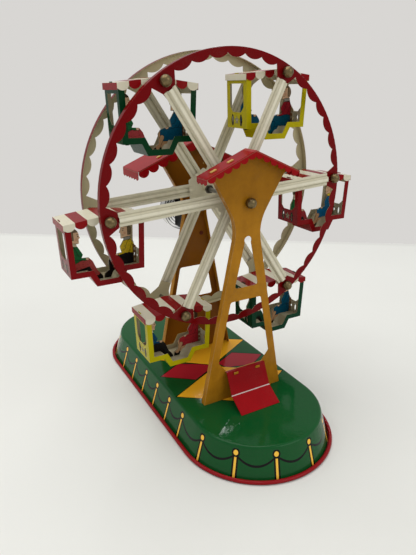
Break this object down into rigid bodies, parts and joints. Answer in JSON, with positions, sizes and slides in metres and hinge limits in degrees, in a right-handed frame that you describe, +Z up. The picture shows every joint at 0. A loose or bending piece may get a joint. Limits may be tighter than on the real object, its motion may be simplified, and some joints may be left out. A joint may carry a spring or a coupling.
{
  "type": "ferris wheel toy",
  "caption": "Tinplate toy ferris wheel on a long rounded base, with swinging cars, two towers with roofs, and an open clockwork wound by a crank.",
  "frame": {"origin": "centre of the base's underside, on the surface it stands on", "axes": "+X to the right seen from the entrance ramp, +Y to the rear along the axle, +Z up"},
  "size_m": [0.3068, 0.341, 0.3495],
  "materials": {
    "red_enamel": "gloss",
    "ring_red": "gloss",
    "green_enamel": "gloss",
    "ochre_enamel": "gloss",
    "cream_enamel": "gloss",
    "black_enamel": "satin",
    "green_car": "gloss",
    "yellow_car": "gloss",
    "red_car": "gloss",
    "striped_awning": "gloss",
    "printed_figures": "satin",
    "bright_steel": "satin",
    "spring_steel": "satin",
    "brass": "satin",
    "knob_wood": "gloss"
  },
  "bodies": {
    "frame": {"base_rim": "red_enamel", "base_pan": "green_enamel", "front_tower": "ochre_enamel", "rear_tower": "ochre_enamel", "front_roof": "red_enamel", "rear_roof": "red_enamel", "entrance_ramp": "red_enamel", "motor_frame": "black_enamel", "motor_posts": "bright_steel", "motor_rivets": "bright_steel", "mainspring": "spring_steel"},
    "wheel": {"front_ring": "ring_red", "rear_ring": "ring_red", "front_spider": "cream_enamel", "rear_spider": "cream_enamel", "axle": "bright_steel", "axle_cap": "brass", "hub_nuts": "bright_steel", "axle_gear": "brass"},
    "great_wheel": {"great_wheel": "brass"},
    "click": {"click": "bright_steel"},
    "winding": {"winding_arbor": "bright_steel", "ratchet_wheel": "bright_steel", "crank_arm": "bright_steel", "crank_nut": "bright_steel", "knob_pin": "bright_steel"},
    "crank_knob": {"crank_knob": "knob_wood"},
    "governor_wheel": {"governor_wheel": "brass"},
    "governor_fan": {"governor_fan": "brass"},
    "hanger_1": {"hanger_rod_1": "bright_steel", "rod_caps_1": "brass"},
    "gondola_1": {"car_1": "green_car", "awning_1": "striped_awning", "passengers_1": "printed_figures"},
    "hanger_2": {"hanger_rod_2": "bright_steel", "rod_caps_2": "brass"},
    "gondola_2": {"car_2": "yellow_car", "awning_2": "striped_awning", "passengers_2": "printed_figures"},
    "hanger_3": {"hanger_rod_3": "bright_steel", "rod_caps_3": "brass"},
    "gondola_3": {"car_3": "red_car", "awning_3": "striped_awning", "passengers_3": "printed_figures"},
    "hanger_4": {"hanger_rod_4": "bright_steel", "rod_caps_4": "brass"},
    "gondola_4": {"car_4": "green_car", "awning_4": "striped_awning", "passengers_4": "printed_figures"},
    "hanger_5": {"hanger_rod_5": "bright_steel", "rod_caps_5": "brass"},
    "gondola_5": {"car_5": "yellow_car", "awning_5": "striped_awning", "passengers_5": "printed_figures"},
    "hanger_6": {"hanger_rod_6": "bright_steel", "rod_caps_6": "brass"},
    "gondola_6": {"car_6": "red_car", "awning_6": "striped_awning", "passengers_6": "printed_figures"}
  },
  "joints": [
    {"name": "wheel_spin", "type": "hinge", "parent": "frame", "child": "wheel", "pos_m": [0, -0.0215, 0.2243], "axis": [0, -1, 0], "continuous": true},
    {"name": "hanger_1_turn", "type": "hinge", "parent": "wheel", "child": "hanger_1", "pos_m": [-0.0661, -0.0215, 0.32229], "axis": [0, -1, 0], "continuous": true},
    {"name": "gondola_1_swing", "type": "hinge", "parent": "hanger_1", "child": "gondola_1", "pos_m": [-0.0661, -0.0215, 0.32229], "axis": [0, -1, 0], "continuous": true},
    {"name": "hanger_2_turn", "type": "hinge", "parent": "wheel", "child": "hanger_2", "pos_m": [0.05181, -0.0215, 0.33054], "axis": [0, -1, 0], "continuous": true},
    {"name": "gondola_2_swing", "type": "hinge", "parent": "hanger_2", "child": "gondola_2", "pos_m": [0.05181, -0.0215, 0.33054], "axis": [0, -1, 0], "continuous": true},
    {"name": "hanger_3_turn", "type": "hinge", "parent": "wheel", "child": "hanger_3", "pos_m": [0.11791, -0.0215, 0.23255], "axis": [0, -1, 0], "continuous": true},
    {"name": "gondola_3_swing", "type": "hinge", "parent": "hanger_3", "child": "gondola_3", "pos_m": [0.11791, -0.0215, 0.23255], "axis": [0, -1, 0], "continuous": true},
    {"name": "hanger_4_turn", "type": "hinge", "parent": "wheel", "child": "hanger_4", "pos_m": [0.0661, -0.0215, 0.12631], "axis": [0, -1, 0], "continuous": true},
    {"name": "gondola_4_swing", "type": "hinge", "parent": "hanger_4", "child": "gondola_4", "pos_m": [0.0661, -0.0215, 0.12631], "axis": [0, -1, 0], "continuous": true},
    {"name": "hanger_5_turn", "type": "hinge", "parent": "wheel", "child": "hanger_5", "pos_m": [-0.05181, -0.0215, 0.11806], "axis": [0, -1, 0], "continuous": true},
    {"name": "gondola_5_swing", "type": "hinge", "parent": "hanger_5", "child": "gondola_5", "pos_m": [-0.05181, -0.0215, 0.11806], "axis": [0, -1, 0], "continuous": true},
    {"name": "hanger_6_turn", "type": "hinge", "parent": "wheel", "child": "hanger_6", "pos_m": [-0.11791, -0.0215, 0.21605], "axis": [0, -1, 0], "continuous": true},
    {"name": "gondola_6_swing", "type": "hinge", "parent": "hanger_6", "child": "gondola_6", "pos_m": [-0.11791, -0.0215, 0.21605], "axis": [0, -1, 0], "continuous": true},
    {"name": "great_wheel_spin", "type": "hinge", "parent": "frame", "child": "great_wheel", "pos_m": [0, 0.0367, 0.1963], "axis": [0, -1, 0], "continuous": true},
    {"name": "click_lift", "type": "hinge", "parent": "great_wheel", "child": "click", "pos_m": [-0.00745, 0.0383, 0.2006], "axis": [0, -1, 0], "range_deg": [0, 10]},
    {"name": "winding_spin", "type": "hinge", "parent": "great_wheel", "child": "winding", "pos_m": [0, 0.0485, 0.1963], "axis": [0, -1, 0], "continuous": true},
    {"name": "knob_spin", "type": "hinge", "parent": "winding", "child": "crank_knob", "pos_m": [0.02057, 0.0763, 0.17179], "axis": [0, -1, 0], "continuous": true},
    {"name": "governor_wheel_spin", "type": "hinge", "parent": "frame", "child": "governor_wheel", "pos_m": [0, 0.0385, 0.2446], "axis": [0, -1, 0], "continuous": true},
    {"name": "governor_fan_spin", "type": "hinge", "parent": "frame", "child": "governor_fan", "pos_m": [0.0125, 0.0425, 0.2446], "axis": [0, -1, 0], "continuous": true}
  ],
  "couplings": [
    {"joint": "hanger_1_turn", "follows": "wheel_spin", "ratio": -1},
    {"joint": "hanger_2_turn", "follows": "wheel_spin", "ratio": -1},
    {"joint": "hanger_3_turn", "follows": "wheel_spin", "ratio": -1},
    {"joint": "hanger_4_turn", "follows": "wheel_spin", "ratio": -1},
    {"joint": "hanger_5_turn", "follows": "wheel_spin", "ratio": -1},
    {"joint": "hanger_6_turn", "follows": "wheel_spin", "ratio": -1},
    {"joint": "great_wheel_spin", "follows": "wheel_spin", "ratio": -1.5},
    {"joint": "governor_wheel_spin", "follows": "wheel_spin", "ratio": -4.8},
    {"joint": "governor_fan_spin", "follows": "wheel_spin", "ratio": 19.2}
  ]
}
